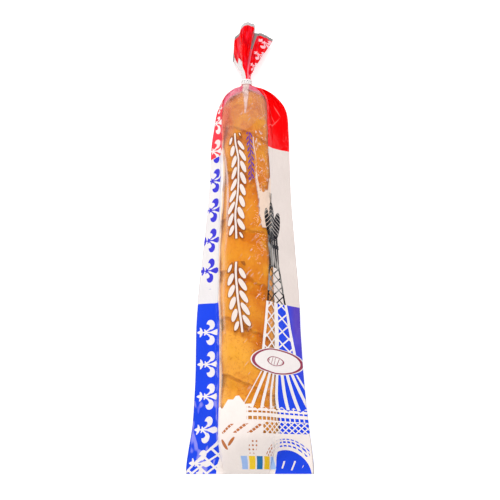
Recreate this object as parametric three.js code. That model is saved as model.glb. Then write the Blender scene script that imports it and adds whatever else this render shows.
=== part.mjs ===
// A long loaf closed in a clear printed film bag, lying on its back, in millimetres.
// X runs across the bag, +Y towards the gathered tail, +Z up; Z = 0 is the flat of the loaf's base.
// Two solids: the filled bag, and the narrow band that closes its neck.
import * as THREE from 'three';

// ---- Driving dimensions ------------------------------------------------------------------
const SEAL_Y = -287.5;         // welded bottom edge of the bag
const TAIL_Y = 287.5;          // highest tip of the tail
const NECK_Y = 197.5;          // middle of the band
const NECK_X = -4.2;           // the neck sits a little left of the loaf's centre line
const NECK_Z = 24;             // height of the neck's axis
const NECK_HALF = [5.6, 4.4];  // half width and half height of the gathered neck
const LOAF_HALF = 35;          // half the loaf's greatest width, with the film on it
const LOAF_X = NECK_X;         // the loaf lies left of the middle of the slack film
const LOAF_TOP = 56;           // top of the loaf over its base
const LOAF_WAIST = 21;         // height of the loaf's widest level
const LOAF_ENDS = [-270, 188]; // where the loaf stops under the film
const FLAT_SINK = 1.6;         // how far the round belly is cut off by the flat base
const WING_THICK = 2.4;        // both layers of slack film beside the loaf
const SLASH_PITCH = 60;        // distance between two slashes along the loaf
const SLASH_LEAN = 0.36;       // how far a slash runs towards the seal per unit across
const SLASH_START = -9;        // where one of the slashes crosses the loaf's middle line
const SLASH_DEPTH = 3.2;       // relief of the slashes that shows through the film
const PLEATS = 9;              // folds across the gathered tail
const NECK_FROM = NECK_Y - 4;  // the gathered neck is straight between these two stations
const NECK_TO = NECK_Y + 4;
const TENT_FROM = 0.72;        // share of the loaf's half width where the film leaves it on the right
const TENT_SAG = 2.5;          // how far the free film sags below a straight line to the edge
const TENT_FLOOR = 2.6;        // height of the under film below the free film
const BAND = { length: 6.4, gap: 0.4, wall: 0.8, lap: 0.5 };
const COLUMNS = 27;            // grid columns across the bag
const CORE_SHARE = 0.66;       // share of the columns that lies on the loaf

// ---- Small helpers -----------------------------------------------------------------------
const clamp = (v, lo, hi) => Math.min(hi, Math.max(lo, v));
const ease = (v, from, to) => {
  const t = clamp((v - from) / (to - from), 0, 1);
  return t * t * (3 - 2 * t);
};
const mix = (a, b, t) => a + (b - a) * t;
const softMax = (a, b, k) => 0.5 * (a + b + Math.sqrt((a - b) ** 2 + k * k));
const softMin = (a, b, k) => -softMax(-a, -b, k);

// Height of a unit superellipse at reach 0..1: power 2 is a circle, more is squarer.
const arch = (reach, power) => (1 - reach ** power) ** (1 / power);

// Value at y on a line of [y, value] stops, eased between two stops and level at a turn.
function along(stops, y) {
  const last = stops.length - 1;
  if (y <= stops[0][0]) return stops[0][1];
  if (y >= stops[last][0]) return stops[last][1];
  const i = stops.findIndex((stop) => stop[0] > y) - 1;
  const [y0, v0] = stops[i];
  const [y1, v1] = stops[i + 1];
  const slope = (j) => {
    const a = stops[Math.max(j - 1, 0)];
    const b = stops[Math.min(j + 1, last)];
    const turns = (b[1] - stops[j][1]) * (stops[j][1] - a[1]) <= 0;
    return turns ? 0 : (b[1] - a[1]) / (b[0] - a[0]);
  };
  const h = y1 - y0;
  const t = (y - y0) / h;
  return (2 * t ** 3 - 3 * t ** 2 + 1) * v0 + (t ** 3 - 2 * t ** 2 + t) * h * slope(i)
    + (3 * t ** 2 - 2 * t ** 3) * v1 + (t ** 3 - t ** 2) * h * slope(i + 1);
}

// ---- Outline of the bag seen from above --------------------------------------------------
const BODY_HALF = [[SEAL_Y, 75], [-228, 68.2], [-172, 64.4], [-85, 61.8], [-25, 57.2], [36, 52],
  [80, 50], [108, 49], [122, 48.3], [136, 47.1], [149, 46], [158, 44.4], [165, 41.8], [172.4, 37.6],
  [180, 31.9], [184, 27.4], [187.7, 22.2], [191, 15.5], [NECK_FROM, NECK_HALF[0]]];
const TAIL_HALF = [[NECK_TO, NECK_HALF[0]], [212, 6.2], [219, 8.4], [232, 11.5], [248, 15.8],
  [266, 20.7], [TAIL_Y, 25.1]];
const CENTRE_X = [[SEAL_Y, 0], [-230, 0.8], [-172, -0.6], [-110, -1.8], [-25, -1], [60, 0],
  [105, 0.2], [130, 1.2], [160, 2.3], [171, 1.8], [180, -0.1], [187.7, -2], [NECK_FROM, NECK_X],
  [212, NECK_X], [232, -3.2], [248, -0.9], [266, 1.4], [TAIL_Y, 4.6]];

// Half width of the loaf alone: it tapers a little from the seal's end to the neck's.
const LOAF_PLAN = [[SEAL_Y, 0.77], [-262, 0.9], [-240, 0.97], [-150, 1], [0, 0.96], [100, 0.92],
  [148, 0.89], [166, 0.83], [178, 0.71], [187, 0.49], [NECK_FROM, NECK_HALF[0] / LOAF_HALF]];

// Half width: the slack body with its domed shoulder up to the neck, then the fanned tail.
const halfWidth = (y) => along(y < NECK_Y ? BODY_HALF : TAIL_HALF, y);

// ---- Heights along the bag ---------------------------------------------------------------
const CROWN = [[SEAL_Y, 4.6], [-279, 13], [-270, 27], [-260, 40], [-244, 51], [-215, LOAF_TOP],
  [20, LOAF_TOP + 1.5], [138, LOAF_TOP], [162, 51.5], [177, 42.5], [187, 33.5],
  [NECK_FROM, NECK_Z + NECK_HALF[1]]];
const KEEL = [[SEAL_Y, 2.2], [-276, 2], [-262, 1], [-250, 0], [-230, -FLAT_SINK], [138, -FLAT_SINK],
  [162, 1.5], [177, 8], [187, 15], [NECK_FROM, NECK_Z - NECK_HALF[1]]];
const WAIST = [[SEAL_Y, 3.4], [-270, 9], [-245, 17], [-215, LOAF_WAIST], [148, LOAF_WAIST],
  [187, 24], [NECK_FROM, NECK_Z]];
const WING_TIP = [[SEAL_Y, 3.4], [-250, 7], [-170, 11], [-60, 9], [60, 12], [148, 17],
  [184, 22], [NECK_FROM, NECK_Z]];
const TAIL_DROP = 9;           // how far the end of the tail hangs below the neck

// Relief of the slashed crust at x from the loaf's middle: a swell with a narrower dip at every slash.
function slashes(x, y) {
  const on = ease(y, LOAF_ENDS[0] + 18, LOAF_ENDS[0] + 55) * (1 - ease(y, 133, 168));
  const bend = SLASH_LEAN * x + 2.2 * Math.sin(x / 15);
  const turn = ((y + bend - SLASH_START) / SLASH_PITCH) * 2 * Math.PI;
  const dip = 0.5 + 0.5 * Math.cos(turn);
  const face = clamp(1 - (x / (LOAF_HALF * 1.02)) ** 2, 0, 1);
  return on * face * SLASH_DEPTH * (0.45 - dip ** 2.2 + 0.18 * Math.sin(turn + 0.9));
}

// Uneven folds that fan out of the neck: zero on the band, growing away from it. In the tail a
// broad lobe stands in front of a lower one on its right and a slack strip on its left.
const TAIL_RISE = [[-1, -5], [-0.95, -4.5], [-0.92, -1], [-0.72, 0], [-0.64, 4], [-0.3, 6.5],
  [0.08, 4.5], [0.16, -2], [0.3, -4], [0.55, -1], [0.8, 1.5], [1, -2]];
function folds(u, y) {
  const away = Math.abs(y - NECK_Y) - BAND.length / 2 - 0.5;
  if (away <= 0) return 0;
  const wave = Math.sin(u * Math.PI * PLEATS * 0.5 + 1.1 * Math.sin(2.3 * u + 0.6))
    + 0.45 * Math.sin(u * Math.PI * PLEATS * 0.93 + 2);
  if (y > NECK_Y) return (along(TAIL_RISE, u) + 0.8 * wave) * ease(away, 0, 46);
  return wave * 1.7 * ease(away, 0, 10) * (1 - ease(away, 12, 62));
}

// Slack ripples of the film beside the loaf.
function ripple(u, y) {
  const edge = ease(Math.abs(u), 0.62, 1) * ease(y, SEAL_Y, SEAL_Y + 30) * (1 - ease(y, 146, 184));
  const side = Math.sign(u);
  return edge * (1.6 * Math.sin(y / 13 + side) + 1.1 * Math.sin(y / 7.3 + 2.1 * side));
}

// On the right the film leaves the loaf's shoulder and runs freely to the edge, like one side of a
// tent: 1 where it does so, 0 where it lies close.
const tented = (u, y) => (u > 0 ? ease(y, SEAL_Y + 20, -225) * (1 - ease(y, 95, 160)) : 0);

// Top and bottom of the bag at column u (-1 left edge, 1 right edge) and station y.
function layerHeights(u, y) {
  const half = halfWidth(y);
  const middle = y > NECK_Y ? 0 : LOAF_X - along(CENTRE_X, y);
  const loaf = Math.min(LOAF_HALF * along(LOAF_PLAN, y), half);
  const inner = Math.min(loaf, 0.8 * half);
  const side = Math.abs(u);
  const tip = half - Math.sign(u) * middle;
  const onBody = side <= CORE_SHARE
    ? inner * Math.sin((Math.PI / 2) * (side / CORE_SHARE))
    : mix(inner, tip, (side - CORE_SHARE) / (1 - CORE_SHARE));
  const across = mix(onBody, half * side, ease(y, NECK_TO, NECK_TO + 12));
  const fromLoaf = Math.sign(u) * across;
  const waist = y > NECK_Y ? NECK_Z : along(WAIST, y);
  const crown = along(CROWN, y) - waist;
  const keel = waist - along(KEEL, y);
  const reach = clamp(across / loaf, 0, 1);
  const past = Math.max(across - loaf, 0);
  const round = ease(y, 164, NECK_FROM - 1);
  const top = waist + crown * arch(reach, mix(2.2, 2, round)) - 3 * past;
  const under = waist - keel * arch(reach, mix(2.8, 2, round)) + 3 * past;
  const edgeHeight = along(WING_TIP, y);
  const share = (from) => clamp((across - from * loaf) / Math.max(tip - from * loaf, 1), 0, 1);
  const free = tented(u, y);
  const close = mix(waist, edgeHeight, share(0.86));
  const shoulder = waist + crown * arch(TENT_FROM, 2.2);
  const out = share(TENT_FROM);
  const tent = mix(shoulder, edgeHeight, out) - 4 * TENT_SAG * out * (1 - out);
  const wave = ripple(u, y);
  const slope = mix(close, tent, free) + wave;
  const belly = mix(TENT_FLOOR, edgeHeight, share(0.6) ** 2);
  const floor = mix(close, belly, free) + wave * (1 - 0.5 * free);
  const soft = 5 * (1 - ease(y, 156, NECK_FROM - 2)) * ease(y, SEAL_Y, -262) + 0.2;
  let high = softMax(top, slope + WING_THICK / 2, soft);
  let low = softMin(under, floor - WING_THICK / 2, soft);
  const fold = folds(u, y);
  high += slashes(fromLoaf, y) + fold;
  low += fold * (y > NECK_Y ? 1 : 0.7);
  const x = fromLoaf + middle;
  if (y > NECK_Y) {
    const run = ease(y, NECK_TO, TAIL_Y);
    const swell = NECK_HALF[1] * (1 + 0.35 * ease(y, NECK_TO, NECK_TO + 24));
    const plump = swell * Math.sqrt(1 - (0.97 * x / half) ** 2);
    const droop = run * (TAIL_DROP + 5 * u * u);
    high = NECK_Z - droop + plump + fold;
    low = NECK_Z - droop - plump + fold;
  }
  return { x, high, low: Math.max(low, 0) };
}

// The tail's free edge is uneven: how far it falls short of the highest tip, by column.
const TAIL_SHORT = [[-1, 45], [-0.95, 33], [-0.92, 19], [-0.69, 14.5], [-0.63, 6.5], [-0.41, 1],
  [-0.1, 3], [0.11, 6.5], [0.16, 13], [0.28, 13], [1, 20.5]];
const COLUMN_U = Array.from({ length: COLUMNS }, (_, i) => (2 * i) / (COLUMNS - 1) - 1);
const tailEnd = (u) => TAIL_Y - Math.max(along(TAIL_SHORT, u), 0);

// ---- The bag -----------------------------------------------------------------------------
function stations() {
  const spans = [[SEAL_Y, -245, 5], [-245, 148, 33], [148, NECK_FROM, 12], [NECK_FROM, NECK_TO, 2],
    [NECK_TO, TAIL_Y, 11]];
  const rows = [SEAL_Y];
  for (const [from, to, count] of spans) {
    for (let i = 1; i <= count; i += 1) rows.push(mix(from, to, i / count));
  }
  return rows;
}

// One closed skin: a top grid, a bottom grid, and a wall round their shared edge.
function bagGeometry() {
  const rows = stations();
  const points = [];
  const layer = { high: [], low: [] };
  for (const row of rows) {
    for (const u of COLUMN_U) {
      const { x, high, low } = layerHeights(u, row);
      const y = row <= NECK_TO ? row : mix(NECK_TO, tailEnd(u), (row - NECK_TO) / (TAIL_Y - NECK_TO));
      for (const [name, z] of [['high', high], ['low', low]]) {
        layer[name].push(points.length / 3);
        points.push(x + along(CENTRE_X, row), y, z);
      }
    }
  }
  const faces = [];
  const quad = (a, b, c, d) => faces.push(a, b, c, a, c, d);
  const top = (r, c) => layer.high[r * COLUMNS + c];
  const under = (r, c) => layer.low[r * COLUMNS + c];
  const endRow = rows.length - 1;
  const endCol = COLUMNS - 1;
  for (let r = 0; r < endRow; r += 1) {
    for (let c = 0; c < endCol; c += 1) {
      quad(top(r, c), top(r, c + 1), top(r + 1, c + 1), top(r + 1, c));
      quad(under(r, c), under(r + 1, c), under(r + 1, c + 1), under(r, c + 1));
    }
    quad(under(r, 0), top(r, 0), top(r + 1, 0), under(r + 1, 0));
    quad(top(r, endCol), under(r, endCol), under(r + 1, endCol), top(r + 1, endCol));
  }
  for (let c = 0; c < endCol; c += 1) {
    quad(under(0, c), under(0, c + 1), top(0, c + 1), top(0, c));
    quad(top(endRow, c), top(endRow, c + 1), under(endRow, c + 1), under(endRow, c));
  }
  return meshGeometry(points, faces);
}

function meshGeometry(points, faces) {
  const geometry = new THREE.BufferGeometry();
  geometry.setAttribute('position', new THREE.Float32BufferAttribute(points, 3));
  geometry.setIndex(faces);
  return geometry;
}

// ---- The band ----------------------------------------------------------------------------
// A flat strip wrapped once round the neck, its end lapped over itself on the upper side.
function bandGeometry() {
  const SIDES = 40;
  const rings = [[-1, 0], [-1, 1], [1, 1], [1, 0]]; // end of the strip, inner (0) or outer (1) face
  const points = [];
  const faces = [];
  for (let i = 0; i < SIDES; i += 1) {
    const angle = (2 * Math.PI * i) / SIDES;
    const turn = (i / SIDES + 0.93) % 1;
    const lap = BAND.lap * ease(turn, 0.16, 0.2) * (1 - ease(turn, 0.42, 0.44));
    for (const [end, outer] of rings) {
      const grow = BAND.gap + outer * (BAND.wall + lap);
      points.push(
        NECK_X + (NECK_HALF[0] + grow) * Math.cos(angle),
        NECK_Y + (end * BAND.length) / 2,
        NECK_Z + (NECK_HALF[1] + grow) * Math.sin(angle),
      );
    }
    const next = (i + 1) % SIDES;
    for (let k = 0; k < 4; k += 1) {
      const m = (k + 1) % 4;
      faces.push(4 * i + k, 4 * i + m, 4 * next + m, 4 * i + k, 4 * next + m, 4 * next + k);
    }
  }
  return meshGeometry(points, faces);
}

// ---- Assembly ----------------------------------------------------------------------------
function part(name, geometry, colour, roughness) {
  geometry.computeVertexNormals();
  const mesh = new THREE.Mesh(geometry, new THREE.MeshStandardMaterial({ color: colour, roughness }));
  mesh.name = name;
  return mesh;
}

const group = new THREE.Group();
group.name = 'bagged_baguette';
group.add(part('bag', bagGeometry(), 0xd98a3c, 0.35));
group.add(part('band', bandGeometry(), 0xf2f0ec, 0.6));

export default group;
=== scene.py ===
# %% [markdown]
# A supermarket baguette in its bag. The real thing is three things: a slashed golden loaf, a printed
# film bag drawn over it, and a narrow band that closes the bag's neck. The packed model holds the bag
# as one plain solid and the band as another. Here the plain bag gives way to a thin film with a print
# on it and a loaf inside, and the band gets its finish.

import bpy
import numpy as np
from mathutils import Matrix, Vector


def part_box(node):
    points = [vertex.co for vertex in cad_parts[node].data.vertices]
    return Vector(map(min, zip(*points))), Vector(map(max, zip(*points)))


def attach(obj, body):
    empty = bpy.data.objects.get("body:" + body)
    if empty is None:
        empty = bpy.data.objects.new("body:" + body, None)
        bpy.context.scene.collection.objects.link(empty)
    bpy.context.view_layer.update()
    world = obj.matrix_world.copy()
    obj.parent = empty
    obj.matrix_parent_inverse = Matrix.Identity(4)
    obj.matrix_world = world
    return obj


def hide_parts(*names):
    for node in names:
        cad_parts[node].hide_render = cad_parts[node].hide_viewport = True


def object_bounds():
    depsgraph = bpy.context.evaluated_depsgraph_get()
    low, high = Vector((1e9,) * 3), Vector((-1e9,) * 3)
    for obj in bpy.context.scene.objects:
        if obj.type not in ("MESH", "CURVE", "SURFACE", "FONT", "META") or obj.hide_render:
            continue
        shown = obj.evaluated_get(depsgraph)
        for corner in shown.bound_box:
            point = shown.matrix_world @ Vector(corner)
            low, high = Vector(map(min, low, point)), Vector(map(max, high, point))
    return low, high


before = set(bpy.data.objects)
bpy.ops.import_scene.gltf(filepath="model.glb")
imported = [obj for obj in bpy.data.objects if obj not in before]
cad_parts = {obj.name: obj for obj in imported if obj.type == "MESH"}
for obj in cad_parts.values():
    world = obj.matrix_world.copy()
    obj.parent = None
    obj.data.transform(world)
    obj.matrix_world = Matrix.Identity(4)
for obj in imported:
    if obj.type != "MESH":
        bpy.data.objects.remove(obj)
CAD_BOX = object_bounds()
MM = 0.001  # shapes are worked out in millimetres, and Blender's unit is the metre
print("nodes:", sorted(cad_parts), "box:", CAD_BOX)

# %% [markdown]
# The camera looks down on the pack from the seal's end, 15 degrees off straight down, so the near end
# is a little larger than the far one. A long lens from well away keeps that perspective mild. It is
# worked out from the focal length in pixels, which is the easier one to measure.

# %% Camera
FRAME_PIXELS = 500
SENSOR = 36.0
CAMERA_ELEVATION = np.radians(75.0)
CAMERA_DISTANCE = 1.250
FOCAL_PIXELS = 1020.57
AIM = Vector((0.0, -0.0199, 0.015))

camera_data = bpy.data.cameras.new("camera")
camera_data.sensor_width = SENSOR
camera_data.lens = FOCAL_PIXELS * SENSOR / FRAME_PIXELS
camera_data.clip_end = 20.0
camera = bpy.data.objects.new("camera", camera_data)
bpy.context.scene.collection.objects.link(camera)
away = Vector((0.0, -np.cos(CAMERA_ELEVATION), np.sin(CAMERA_ELEVATION)))
camera.location = AIM + CAMERA_DISTANCE * away
camera.rotation_euler = (AIM - camera.location).to_track_quat("-Z", "Y").to_euler()
bpy.context.scene.camera = camera
print("lens", round(camera_data.lens, 2), "mm at", tuple(round(c, 3) for c in camera.location))

# %% [markdown]
# Every surface here is a grid of points: one direction runs along the pack, the other around it. The
# grids are whole numpy arrays, and one helper turns such a grid into a mesh. Where the grid closes on
# itself, the last column joins the first, so there is no seam. Where its ends are closed, a fan of
# triangles fills them.

# %% Grid to mesh
def grid_mesh(name, x, y, z, close_ends=(False, False), uv=None):
    """A tube from rows by columns of millimetre points. Column c joins column c + 1, and the last
    joins the first; a closed end is a fan round the mean of its row. uv is a pair of arrays with one
    column more than the points, so that the print does not run backwards over the closing seam."""
    rows, columns = x.shape
    points = np.stack([x, y, z], axis=-1).reshape(-1, 3)
    r, c = np.meshgrid(np.arange(rows - 1), np.arange(columns), indexing="ij")
    beside = (c + 1) % columns
    quads = np.stack([r * columns + c, r * columns + beside,
                      (r + 1) * columns + beside, (r + 1) * columns + c], axis=-1).reshape(-1, 4)
    loops, sizes = [quads.ravel()], [np.full(len(quads), 4)]
    for end, row in enumerate((0, rows - 1)):
        if not close_ends[end]:
            continue
        middle = len(points)
        points = np.vstack([points, points[row * columns:(row + 1) * columns].mean(axis=0)])
        ring = row * columns + np.arange(columns)
        beyond = np.roll(ring, -1)
        pair = (beyond, ring) if end == 0 else (ring, beyond)
        loops.append(np.stack([np.full(columns, middle), *pair], axis=-1).ravel())
        sizes.append(np.full(columns, 3))
    loops, sizes = np.concatenate(loops), np.concatenate(sizes)
    mesh = bpy.data.meshes.new(name)
    mesh.vertices.add(len(points))
    mesh.vertices.foreach_set("co", (points * MM).ravel())
    mesh.loops.add(len(loops))
    mesh.loops.foreach_set("vertex_index", loops)
    mesh.polygons.add(len(sizes))
    mesh.polygons.foreach_set("loop_start", np.concatenate([[0], np.cumsum(sizes)[:-1]]))
    mesh.update(calc_edges=True)
    mesh.validate()
    mesh.shade_smooth()
    if uv is not None:
        corner = np.stack([np.stack([a[r, c], a[r, c + 1], a[r + 1, c + 1], a[r + 1, c]], axis=-1)
                           for a in uv], axis=-1).reshape(-1, 2)
        layer = mesh.uv_layers.new(name="print")
        all_corners = np.zeros((len(loops), 2))
        all_corners[:len(corner)] = corner * MM
        layer.data.foreach_set("uv", all_corners.ravel())
    piece = bpy.data.objects.new(name, mesh)
    bpy.context.scene.collection.objects.link(piece)
    print(name, "has", len(mesh.vertices), "points and", len(mesh.polygons), "faces")
    return piece


# %% [markdown]
# Three small tools serve every shape: a soft step, a blend of two values, and a smooth curve through a
# few stops, such as the bag's half width at some places along it.

# %% Blends and curves
def ease(value, start, stop):
    """0 up to start, 1 from stop, and an S-shaped blend between them."""
    share = np.clip((value - start) / (stop - start), 0.0, 1.0)
    return share * share * (3.0 - 2.0 * share)


def mix(a, b, share):
    return a + (b - a) * share


def along(stops, y):
    """A curve through [y, value] stops: cubic between two stops, and level where the values turn."""
    at, value = np.array(stops, dtype=float).T
    y_left, y_right = np.r_[at[0], at[:-1]], np.r_[at[1:], at[-1]]
    v_left, v_right = np.r_[value[0], value[:-1]], np.r_[value[1:], value[-1]]
    slope = (v_right - v_left) / (y_right - y_left)
    slope[(v_right - value) * (value - v_left) <= 0] = 0.0
    i = np.clip(np.searchsorted(at, y, side="right") - 1, 0, len(at) - 2)
    span = at[i + 1] - at[i]
    f = np.clip((y - at[i]) / span, 0.0, 1.0)
    return ((2 * f ** 3 - 3 * f ** 2 + 1) * value[i] + (f ** 3 - 2 * f ** 2 + f) * span * slope[i]
            + (3 * f ** 2 - 2 * f ** 3) * value[i + 1] + (f ** 3 - f ** 2) * span * slope[i + 1])


print("a soft step a quarter of the way is", ease(0.25, 0.0, 1.0))

# %% [markdown]
# Film and crust are uneven, so the shapes need noise. Two kinds are enough. Smooth noise blends random
# heights on a square net. Crease noise joins the same heights with flat triangles, which leaves sharp
# folds between flat facets, and that is how stiff thin film crumples.

# %% Noise
def net_heights(x, y, seed):
    """Random heights at the four corners of each point's square, and the place inside the square."""
    table = np.random.default_rng(seed).random((128, 128)) * 2.0 - 1.0
    i, j = np.floor(x).astype(int), np.floor(y).astype(int)
    corners = [table[(i + a) % 128, (j + b) % 128] for a, b in ((0, 0), (1, 0), (0, 1), (1, 1))]
    return corners, x - i, y - j


def smooth_noise(x, y, seed):
    """Heights from -1 to 1 that blend without a fold."""
    (v00, v10, v01, v11), fx, fy = net_heights(x, y, seed)
    fx, fy = ease(fx, 0.0, 1.0), ease(fy, 0.0, 1.0)
    return mix(mix(v00, v10, fx), mix(v01, v11, fx), fy)


def crease_noise(x, y, seed):
    """Heights from -1 to 1 on flat triangles: each square is split along its diagonal."""
    (v00, v10, v01, v11), fx, fy = net_heights(x, y, seed)
    return np.where(fx > fy, v00 + fx * (v10 - v00) + fy * (v11 - v10),
                    v00 + fy * (v01 - v00) + fx * (v11 - v01))


print("noise in the middle of a square:", round(float(smooth_noise(0.5, 0.5, 1)), 2), "smooth,",
      round(float(crease_noise(0.5, 0.5, 1)), 2), "creased")

# %% [markdown]
# The bag's form follows the packed solid: the same outline from above and the same heights along it.
# Each is a short curve with a few stops from the welded edge (negative y) to the tail (positive y).

# %% Sizes of the pack
SEAL_Y, TAIL_Y = CAD_BOX[0][1] / MM, CAD_BOX[1][1] / MM
BAND_LOW, BAND_HIGH = (np.array(corner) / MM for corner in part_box("band"))
NECK_Y = 0.5 * (BAND_LOW[1] + BAND_HIGH[1])
NECK_X, NECK_Z = -4.2, 24.0
NECK_HALF = (5.6, 4.4)      # half width and half height of the gathered neck
FLAT_HALF = 75.0            # half of the flat bag's width, so the film is 300 mm round
LOAF_HALF = 35.0            # half the loaf's greatest width with the film on it
LOAF_X = NECK_X             # the loaf lies left of the middle of the slack film
LOAF_ENDS = (-270.0, 188.0)
NECK_FROM, NECK_TO = NECK_Y - 4.0, NECK_Y + 4.0  # the gathered neck is straight between these
TENT_FROM = 0.72            # share of the loaf's half width where the film leaves it on the right
TENT_SAG = 2.5              # how far the free film sags below a straight line to the edge
TENT_FLOOR = 2.6            # height of the under film below the free film

BODY_HALF = [(SEAL_Y, 75), (-228, 68.2), (-172, 64.4), (-85, 61.8), (-25, 57.2), (36, 52), (80, 50),
             (108, 49), (122, 48.3), (136, 47.1), (149, 46), (158, 44.4), (165, 41.8), (172.4, 37.6),
             (180, 31.9), (184, 27.4), (187.7, 22.2), (191, 15.5), (NECK_FROM, NECK_HALF[0])]
TAIL_HALF = [(NECK_TO, NECK_HALF[0]), (212, 6.2), (219, 8.4), (232, 11.5), (248, 15.8), (266, 20.7),
             (TAIL_Y, 25.1)]
CENTRE_X = [(SEAL_Y, 0), (-230, 0.8), (-172, -0.6), (-110, -1.8), (-25, -1), (60, 0), (105, 0.2),
            (130, 1.2), (160, 2.3), (171, 1.8), (180, -0.1), (187.7, -2), (NECK_FROM, NECK_X),
            (212, NECK_X), (232, -3.2), (248, -0.9), (266, 1.4), (TAIL_Y, 4.6)]
LOAF_PLAN = [(SEAL_Y, 0.77), (-262, 0.9), (-240, 0.97), (-150, 1), (0, 0.96), (100, 0.92), (148, 0.89),
             (166, 0.83), (178, 0.71), (187, 0.49), (NECK_FROM, NECK_HALF[0] / LOAF_HALF)]
CROWN = [(SEAL_Y, 4.6), (-279, 13), (-270, 27), (-260, 40), (-244, 51), (-215, 56), (20, 57.5),
         (138, 56), (162, 51.5), (177, 42.5), (187, 33.5), (NECK_FROM, NECK_Z + NECK_HALF[1])]
KEEL = [(SEAL_Y, 2.2), (-276, 2), (-262, 1), (-250, 0), (-230, -1.6), (138, -1.6), (162, 1.5),
        (177, 8), (187, 15), (NECK_FROM, NECK_Z - NECK_HALF[1])]
WAIST = [(SEAL_Y, 3.4), (-270, 9), (-245, 17), (-215, 21), (148, 21), (187, 24), (NECK_FROM, NECK_Z)]
WING_TIP = [(SEAL_Y, 3.4), (-250, 7), (-170, 11), (-60, 9), (60, 12), (148, 17), (184, 22),
            (NECK_FROM, NECK_Z)]


def half_width(y):
    """Half the bag's width: the slack body with its domed shoulder, the neck, then the fanned tail."""
    return np.where(y >= NECK_Y, along(TAIL_HALF, y), along(BODY_HALF, y))


def arch(reach, power):
    """Height of a superellipse of radius 1: power 2 is a circle, more is squarer."""
    return (1.0 - np.clip(reach, 0.0, 1.0) ** power) ** (1.0 / power)


print("seal at", SEAL_Y, "tail at", TAIL_Y, "neck at", NECK_Y)

# %% [markdown]
# Across the pack, each layer of film follows the loaf and then runs out into the slack wing. On the
# left the two layers meet close beside the loaf. On the right the upper layer runs free, like one side
# of a tent, from the loaf's shoulder to the bag's edge.

# %% Section of the two layers
def soft_max(a, b, radius):
    """The larger of two values, with the corner between them rounded."""
    return 0.5 * (a + b + np.sqrt((a - b) ** 2 + radius ** 2))


def loaf_reach(y):
    """Half the width of the film's close part at y, and its distance from the bag's middle."""
    half = half_width(y)
    middle = np.where(y > NECK_Y, 0.0, LOAF_X - along(CENTRE_X, y))
    return np.minimum(LOAF_HALF * along(LOAF_PLAN, y), half), middle


def layer_height(across, y, tip, right, side):
    """Height of a layer at across from the loaf's middle, and the height of its wing alone. side is 1
    for the layer over the loaf and -1 for the one below it; the wing's edge is at tip."""
    loaf_half = loaf_reach(y)[0]
    waist, crown, edge = along(WAIST, y), along(CROWN, y), along(WING_TIP, y)
    rounding = ease(y, 164, NECK_FROM - 1)
    past = 3 * np.maximum(across - loaf_half, 0)
    shoulder, from_belly, beside = (
        np.clip((across - share * loaf_half) / np.maximum(tip - share * loaf_half, 1), 0, 1)
        for share in (TENT_FROM, 0.6, 0.86))
    free = right * ease(y, SEAL_Y + 4, -245) * (1 - ease(y, 95, 160))
    close = mix(waist, edge, beside)
    if side > 0:
        body = waist + (crown - waist) * arch(across / loaf_half, mix(2.2, 2.0, rounding)) - past
        top = waist + (crown - waist) * arch(TENT_FROM, 2.2)
        tent = mix(top, edge, shoulder) - 4 * TENT_SAG * shoulder * (1 - shoulder)
        wing = mix(close, tent, free)
    else:
        depth = (waist - along(KEEL, y)) * arch(across / loaf_half, mix(2.8, 2.0, rounding))
        body = waist - depth + past
        wing = mix(close, mix(TENT_FLOOR, edge, from_belly ** 2), free)
    soft = 5 * (1 - ease(y, 156, NECK_FROM - 2)) * ease(y, SEAL_Y, -262) + 0.2
    return side * soft_max(side * body, side * wing, soft), wing, beside


print("film over the loaf's middle at y = 0 is", round(float(layer_height(0.0, 0.0, 60.0, 1, 1)[0]), 1))

# %% [markdown]
# The loaf is a tube of points with rounded ends. Its crust was slashed before baking. Each slash opened
# into a rough strip with a raised lip above it, and the crust between two slashes swelled into a smooth
# lump. The strips lean towards the seal from left to right, and no two are alike. The loaf could be
# sculpted by hand, or take its relief from a displacement texture. It is worked out from the slashes'
# own rhythm instead, so that the crust's colours and the film over it follow the very same slashes.

# %% The loaf's surface
SLASH_PITCH = 61.0
SLASH_LEAN = 0.34           # how far a slash runs towards the seal per millimetre across
SLASH_START = 0.7           # places the lips along the loaf
LIP = 0.985                 # the lip's place in its period
CRUST_GAP = 2.0             # from the crust's mean surface to the film over it
SIDE_GAP = 0.7              # and beside it
RIGHT_SWELL = 7.0           # the loaf bulges under the free film on its right


def slash_phase(across, y):
    """How far a point is through its slash period, 0 to 1. across is measured from the loaf's middle."""
    wander = (5.0 * smooth_noise(across / 23.0 + 3, y / 47.0, 11)
              + 1.3 * smooth_noise(across / 7.0, y / 15.0, 12))
    turn = (y + SLASH_LEAN * across + 2.2 * np.sin(across / 15.0) + wander - SLASH_START) / SLASH_PITCH
    return turn - np.floor(turn)


def opening(phase):
    """1 on the rough strip under a slash's lip, 0 on the smooth lump, with a sharp lip side."""
    return ease(phase, 0.67, 0.75) * (1.0 - ease(phase, LIP - 0.04, LIP - 0.005))


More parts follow.
